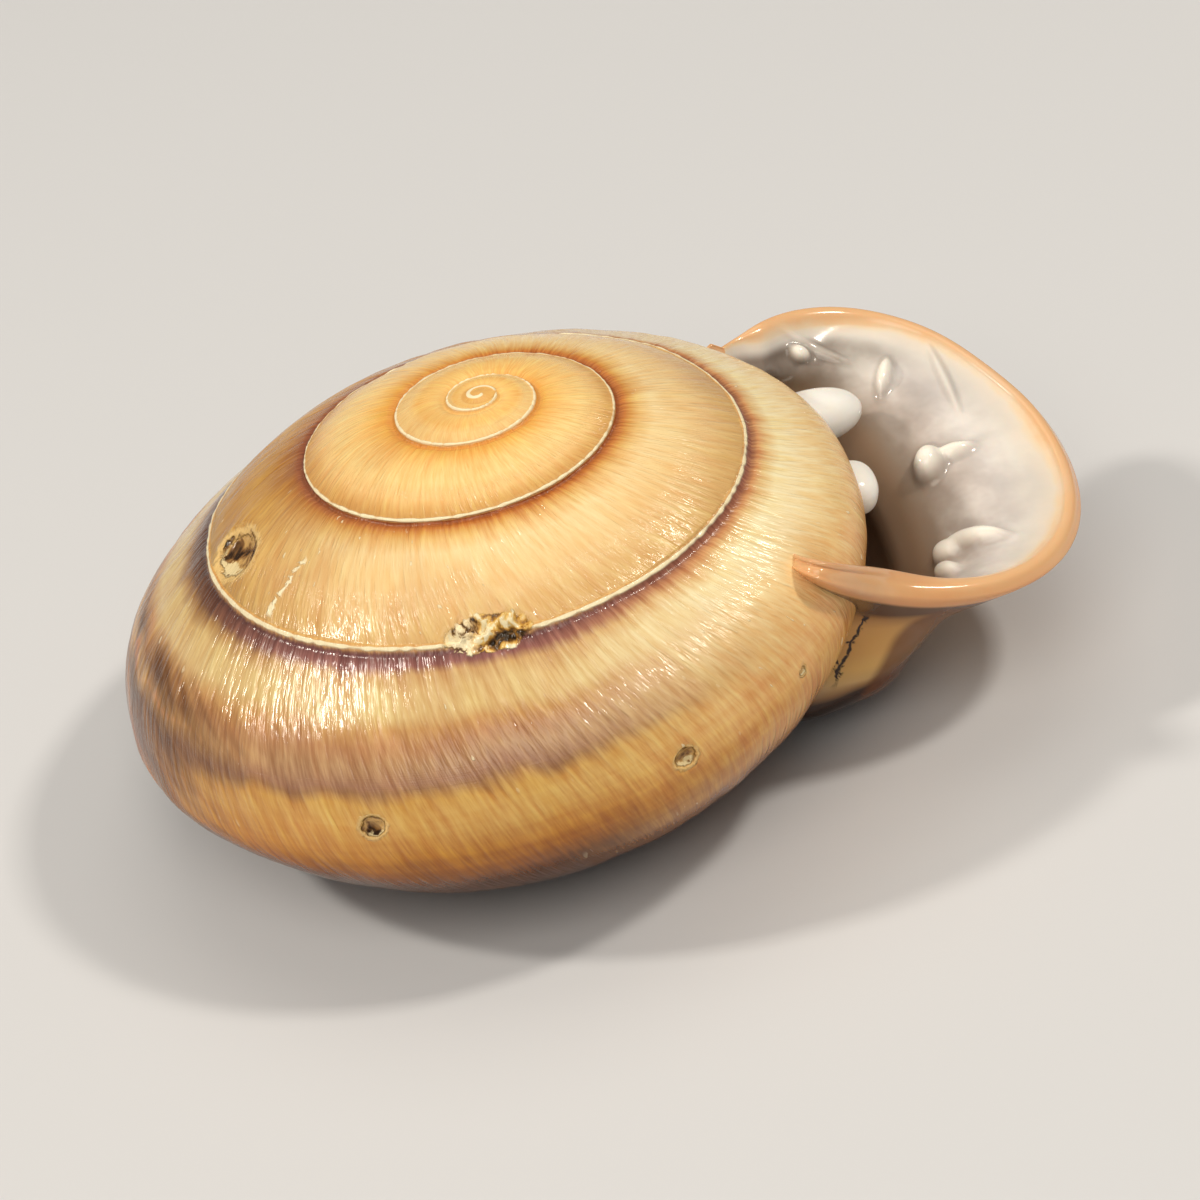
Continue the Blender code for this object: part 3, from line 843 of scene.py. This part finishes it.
def skin_noises(made, turn, across):
    """The noises of a whorl's skin, by name."""
    age = made.plus(turn, made.times(across, LEAN))
    noises = {}
    for along, sizes in ((age, GROWTH_NOISES), (turn, TURN_NOISES)):
        for name, (many, over, detail) in sizes.items():
            at = made.point(made.times(along, many), made.times(across, over))
            noises[name] = made.grain(at, detail=detail)
    slanting = made.point(made.plus(made.times(turn, 26), made.times(across, 4)), across)
    noises["slants"] = made.grain(slanting)
    noises["cloud"] = made.grain(made.place_in(), 180.0)
    return noises


def whorl_colour(made, turn, across, noises):
    """A whorl's bands, which wander and blend from turn to turn, with streaks and threads."""
    clear = made.step(across, 0.02, 0.3)
    last = made.step(turn, 3.6, 4.0)
    wander = made.plus(made.swing(noises["broad"], 0.04), made.swing(noises["cloud"], 0.06))
    wander = made.plus(wander, made.times(made.swing(noises["slow"], 0.09), last))
    shifted = made.plus(across, made.times(wander, clear), made.swing(noises["lines"], 0.016))
    colour = made.ramp(shifted, FIRST, 2.0)
    for stops, start, end in WHORLS:
        colour = made.mixed(made.step(turn, start, end), colour, made.ramp(shifted, stops, 2.0))
    stained = made.times(made.step(noises["cloud"], 0.5, 0.75), 0.25)
    edge = made.times(made.step(across, 0.74, 0.9), made.step(turn, 4.0, 4.2))
    left = made.times(made.step(turn, 4.34, 4.46), made.step(across, 0.3, 0.45))
    colour = made.toned(0.14, colour, noises["broad"], STREAKS, "OVERLAY")
    colour = made.toned(0.24, colour, noises["lines"], THREADS, "SOFT_LIGHT")
    hairy = made.plus(0.06, made.times(last, 0.2))
    colour = made.toned(hairy, colour, noises["fine"], HAIRS, "SOFT_LIGHT")
    colour = made.mixed(stained, colour, linear(STAIN))
    colour = made.toned(made.times(edge, 0.2), colour, noises["bands"], SPIRALS, "SOFT_LIGHT")
    return made.toned(made.times(left, 0.6), colour, noises["slants"], SLANTS, "OVERLAY")


def whorl_normal(made, turn, across, noises, share):
    """Growth lines, finer ones and spiral threads, which grow with the turns."""
    grown = made.times(made.step(made.plus(turn, across), 0.8, 4.4), share)
    coarse = made.times(made.hill(turn, COARSE_AT, 0.16), made.hill(across, 0.5, 0.45))
    coarse = made.plus(1.0, made.times(coarse, 1.3))
    middle = made.times(made.hill(across, 0.68, 0.14), share)
    normal = None
    for name, strength in (
        ("broad", grown), ("lines", made.times(grown, coarse)), ("fine", grown), ("threads", middle),
    ):
        normal = made.bumped(made.times(noises[name], strength), RELIEF[name], normal)
    return normal


def whorl_skin(made, turn, across, share=1.0):
    """A whorl's colour and roughness, its normal with relief that fades by share, its noises."""
    noises = skin_noises(made, turn, across)
    glossy = made.step(made.plus(noises["broad"], made.swing(noises["cloud"], 0.4)), 0.35, 0.65)
    rough = made.plus(0.08, made.times(noises["fine"], 0.08), made.times(glossy, 0.14))
    colour = whorl_colour(made, turn, across, noises)
    return colour, rough, whorl_normal(made, turn, across, noises, share), noises


def pit_shares(made, turn, across, wobble):
    """How far a place is in a pit, on a pit's rim and in the deposit low in a pit."""
    hole, rim, deposit = 0.0, 0.0, 0.0
    for turn_at, across_at, along, over, _, _ in PITS:
        centre, ahead, higher = (
            place(turn_at + more, whorl_top(np.array(turn_at + more), across_at - less))
            for more, less in ((0.0, 0.0), (0.01, 0.0), (0.0, 0.05))
        )
        per_turn = np.linalg.norm(ahead - centre) / 0.01 / along
        per_width = np.linalg.norm(higher - centre) / 0.05 / over
        beside = made.times(made.plus(turn, -turn_at), per_turn)
        lower = made.times(made.plus(across, -across_at), per_width)
        far = made.sum("SQRT", made.plus(made.times(beside, beside), made.times(lower, lower)))
        far = made.plus(far, wobble)
        inside = made.step(far, 1.0, 0.86)
        low = made.step(made.plus(lower, made.times(wobble, 3.5)), 0.4, 0.7)
        hole = made.highest(hole, inside)
        rim = made.highest(rim, made.hill(far, 1.12, 0.28))
        deposit = made.highest(deposit, made.times(inside, low))
    return hole, rim, deposit


def pale_share(made, turn, across, ridge, noises, crumbs):
    """How cream a place is: the suture's ridge, the vein and the flecks."""
    flecked = made.times(made.step(noises["flecks"], 0.71, 0.75), made.step(noises["cloud"], 0.5, 0.6))
    flecked = made.times(flecked, made.step(turn, 2.9, 3.2))
    vein = made.sum("ABSOLUTE", made.plus(turn, -VEIN_AT, made.swing(crumbs, 0.012)))
    vein = made.times(made.step(vein, 0.0026, 0.001), made.step(crumbs, 0.4, 0.47))
    vein = made.times(vein, made.step(across, 0.42, 0.5), made.step(across, 0.98, 0.94))
    return made.highest(made.times(flecked, 0.7), vein, made.step(ridge, 0.22, 0.55))


def coil_material():
    made = Finish("shell_skin")
    turn, across = made.marks()
    ridge, worn, _ = made.traces()
    colour, rough, normal, noises = whorl_skin(made, turn, across)
    crumbs = made.grain(made.place_in(), 1500.0, warp=0.6)
    dust = made.grain(made.place_in(), 4500.0)
    pale = pale_share(made, turn, across, ridge, noises, crumbs)
    colour = made.mixed(pale, colour, linear(CREAM))

    torn = made.step(made.plus(worn, made.swing(crumbs, 0.5)), 0.35, 0.5)
    colour = made.mixed(torn, colour, made.ramp(crumbs, BROKEN))
    flake = made.hill(made.sum("FRACT", turn), FLAKE_AT, 0.013)
    flake = made.times(torn, flake, made.step(crumbs, 0.4, 0.5))
    colour = made.mixed(flake, colour, linear(FLAKE))

    wobble = made.plus(made.swing(crumbs, 0.35), made.swing(dust, 0.2))
    hole, rim, deposit = pit_shares(made, turn, across, wobble)
    # The pits' rims are painted golden cream: partly the rims' own colour and partly a painted highlight
    # on their edges
    colour = made.mixed(made.times(rim, 0.8), colour, linear(PIT_RIM_AND_HIGHLIGHT))
    colour = made.mixed(hole, colour, made.ramp(crumbs, PITTED))
    colour = made.mixed(deposit, colour, linear(DEPOSIT))

    height = made.plus(made.times(rim, 0.5), made.times(hole, -1.0), made.times(torn, crumbs))
    height = made.times(made.plus(height, made.times(pale, 0.3)), made.step(turn, 0.5, 2.6))
    made.look(colour, rough, made.bumped(height, RELIEF["marks"], normal))
    made.put(made.surface.inputs["IOR"], COIL_IOR)
    return made.material


# Colours along the neck: its lip and outer side, its belly and its hollow, by station
LIP = (
    (0.0, "B07C40"), (3.0, "C29A62"), (3.8, "C9A872"), (4.45, "D8A878"), (4.8, "E0A06C"),
    (5.0, "E4A670"), (5.1, "E8B682"),
)
# The belly's colours by station; the last stop, by the lip at 4.8, is a painted shadow line under the
# lip's edge
BELLY_AND_LIP_SHADOW = (
    (0.0, "6A4420"), (1.6, "3A2010"), (2.2, "4E2C14"), (2.7, "28160E"), (2.95, "3C2418"),
    (3.05, "9A7248"), (3.2, "D8B074"), (3.5, "E0B266"), (3.8, "D6A45C"), (4.3, "CC9A56"),
    (4.62, "AA7A40"), (4.8, "5E3C1C"),
)
HOLLOW = (
    (0.0, "B09078"), (2.4, "A88C74"), (3.2, "A2866E"), (3.6, "9C8876"), (3.9, "AC9C90"),
    (4.15, "C4B8B2"), (4.45, "D6D0CE"), (4.75, "DED8D0"), (4.92, "E6DACA"), (5.0, "EAD4B4"),
    (5.06, "ECC498"), (5.1, "EABE90"),
)
NECK_REACH = 6.0  # stations that those three cover
MILK = (0.35, "857A72"), (0.5, "C0B6AE"), (0.66, "FFFAF2")
# The third of these is a painted shade, high on the left in the hollow under the rim's crease; the last
# whitens the teeth and, as a painted highlight, the lip's fold lines
BELLY_SIDE, CRACK, HOLLOW_PAINTED_SHADE, ROLLED, LIP_TOOTH_AND_FOLD_HIGHLIGHT = "6E3C14", "2E1C10", "5C4936", "DEA878", "FFFAF0"
BELLY_AT, BELLY_LEAN = -80.0, 0.012  # the belly's bands lean by this many stations a degree
CRACK_AT = -113.0
TURN_PER_STATION = 0.035  # how fast the growth lines follow each other along the neck
LIP_ROUGH = 0.15


def belly_colour(made, station, angle, cloud):
    """The neck's underside at the front: dark, then tan past the crack, darker on the right, with a
    painted shadow line under the lip's edge.
    """
    broad = made.grain(made.place_in(), 120.0)
    leaning = made.times(made.plus(angle, -BELLY_AT / 360), -BELLY_LEAN * 360)
    along = made.plus(station, leaning, made.swing(broad, 0.25))
    colour = made.ramp(along, BELLY_AND_LIP_SHADOW, NECK_REACH)
    right = made.arc(made.plus(angle, made.swing(broad, 0.012)), -97.2, -90.72)
    right = made.times(right, made.step(station, 4.85, 4.6), 0.85)
    colour = made.mixed(right, colour, linear(BELLY_SIDE))

    torn = made.grain(made.place_in(), 700.0, 3.0, 0.6, 1.0)
    crooked = made.plus(angle, -CRACK_AT / 360, made.swing(cloud, 0.02), made.swing(torn, 0.012))
    crooked = made.sum("ABSOLUTE", crooked)
    thin = made.times(made.step(crooked, 0.003, 0.001), made.step(torn, 0.36, 0.44))
    wide = made.times(made.step(crooked, 0.009, 0.005), made.step(torn, 0.54, 0.6))
    cracked = made.times(made.step(station, 2.7, 2.9), made.step(station, 4.4, 4.2))
    cracked = made.times(made.highest(thin, wide), cracked)
    return made.mixed(cracked, colour, linear(CRACK))


def hollow_colour(made, station, angle, along, cloud, tooth):
    """The inside of the lip: milky, a painted shade high on the left under the rim, salmon at the front,
    white teeth and the folds' painted highlight.
    """
    colour = made.ramp(along, HOLLOW, NECK_REACH)
    # Painted shade: high on the left, under the rim's crease, the hollow is darkened to a dark brown
    high = made.times(made.arc(angle, 38, 66), made.step(station, 4.82, 4.5))
    colour = made.mixed(made.times(high, 0.92), colour, linear(HOLLOW_PAINTED_SHADE))
    rolled = made.times(made.arc(angle, -84, -104), made.step(station, 4.55, 4.8))
    colour = made.mixed(made.times(rolled, 0.9), colour, linear(ROLLED))
    milky = made.times(made.hill(station, 4.2, 0.9), 0.45)
    colour = made.mixed(milky, colour, made.ramp(cloud, MILK))
    # White teeth, and the fold lines whitened as a painted highlight
    return made.mixed(made.times(made.step(tooth, 0.1, 0.9), 0.92), colour, linear(LIP_TOOTH_AND_FOLD_HIGHLIGHT))


def neck_material():
    made = Finish("lip_skin")
    station, angle = made.marks()
    # The second trace: the white teeth, and the fold lines' painted highlight
    depth, tooth, across = made.traces()
    cloud = made.grain(made.place_in(), 260.0, 4.0)
    along = made.plus(station, made.swing(cloud, 0.2))

    front = made.times(made.arc(angle, -190, -160), made.arc(angle, -40, -58))
    front = made.times(front, made.step(station, 4.87, 4.77), made.step(station, -0.1, 0.6))
    behind = made.times(made.step(along, 3.5, 2.1), made.rest(front), made.rest(depth))
    turn = made.plus(NECK_TO, made.times(made.sum("MINIMUM", station, 0.0), 1 / STATIONS_PER_TURN))
    turn = made.plus(turn, made.times(made.highest(station, 0.0), TURN_PER_STATION))
    grown, grown_rough, normal, _ = whorl_skin(made, turn, across, behind)

    outer = made.mixed(behind, made.ramp(along, LIP, NECK_REACH), grown)
    outer = made.mixed(front, outer, belly_colour(made, station, angle, cloud))
    inner = hollow_colour(made, station, angle, along, cloud, tooth)
    rough = made.plus(LIP_ROUGH, made.times(behind, made.plus(grown_rough, -LIP_ROUGH)))
    made.look(made.mixed(depth, outer, inner), rough, made.bumped(cloud, RELIEF["lip"], normal))
    made.soften(0.12, 0.8)
    return made.material


def tooth_material():
    made = Finish("tooth_enamel")
    cloud = made.grain(made.place_in(), 900.0)
    made.look(made.ramp(cloud, ((0.3, "FDFAF2"), (0.7, "FFFFFB"))), 0.16)
    made.soften(0.1, 0.6)
    return made.material


def plain_material(name, code, rough):
    made = Finish(name)
    made.look(linear(code), rough)
    return made.material


def view_directions():
    """Right, up and back of the viewer's place, in the shell's own directions."""
    right, up = Vector((1, 0, 0)), Vector((0, math.sin(VIEW_RISE), math.cos(VIEW_RISE)))
    back = Vector((0, -math.cos(VIEW_RISE), math.sin(VIEW_RISE)))
    cosine, sine = math.cos(VIEW_ROLL), math.sin(VIEW_ROLL)
    return cosine * right + sine * up, cosine * up - sine * right, back


def add_camera():
    right, up, back = view_directions()
    stands = back * VIEW_DISTANCE
    looks = (right * VIEW_AIM[0] + up * VIEW_AIM[1] - stands).normalized()
    side = looks.cross(up).normalized()
    turned = Matrix((side, side.cross(looks), -looks)).transposed()
    camera = bpy.data.objects.new("camera", bpy.data.cameras.new("camera"))
    camera.data.lens = LENS
    camera.data.sensor_width = SENSOR
    camera.data.clip_start = 0.001
    bpy.context.scene.collection.objects.link(camera)
    camera.matrix_world = Matrix.Translation(TO_FRAME + stands * MM) @ turned.to_4x4()
    bpy.context.scene.camera = camera


def add_lamp(name, rise, bearing, size, power):
    """A soft square lamp aimed at the shell, from a rise and a bearing in degrees."""
    rise, bearing = math.radians(rise), math.radians(bearing)
    level = math.cos(rise)
    way = Vector((level * math.sin(bearing), -level * math.cos(bearing), math.sin(rise)))
    lamp = bpy.data.objects.new(name, bpy.data.lights.new(name, "AREA"))
    lamp.data.size = size
    lamp.data.energy = power
    lamp.data.color = linear(LAMP_COLOUR)[:3]
    lamp.location = way * LAMP_DISTANCE
    lamp.rotation_euler = way.to_track_quat("Z", "Y").to_euler()
    bpy.context.scene.collection.objects.link(lamp)


def add_surroundings():
    bpy.ops.mesh.primitive_plane_add(size=4.0)
    floor = bpy.context.object
    floor.name = "floor"
    floor.data.materials.append(plain_material("floor", "D4D6DA", 0.9))
    floor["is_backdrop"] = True
    world = bpy.data.worlds.new("studio")
    world.use_nodes = True
    world.node_tree.nodes["Background"].inputs["Color"].default_value = linear("F2F0EC")
    world.node_tree.nodes["Background"].inputs["Strength"].default_value = DAYLIGHT
    bpy.context.scene.world = world
    for name, rise, bearing, size, power in LAMPS:
        add_lamp(name, rise, bearing, size, power)
    bpy.context.scene.view_settings.view_transform = "Standard"


def corners(bounds):
    return [list(corner) for corner in bounds]


def main():
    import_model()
    before = corners(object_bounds())
    enamel = tooth_material()
    pieces = [build_coil(coil_material()), build_neck(neck_material()), *build_teeth(enamel)]
    for piece in pieces:
        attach(piece, "root")
        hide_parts("shell")
    add_surroundings()
    add_camera()
    {"before": before, "after": corners(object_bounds())}


main()
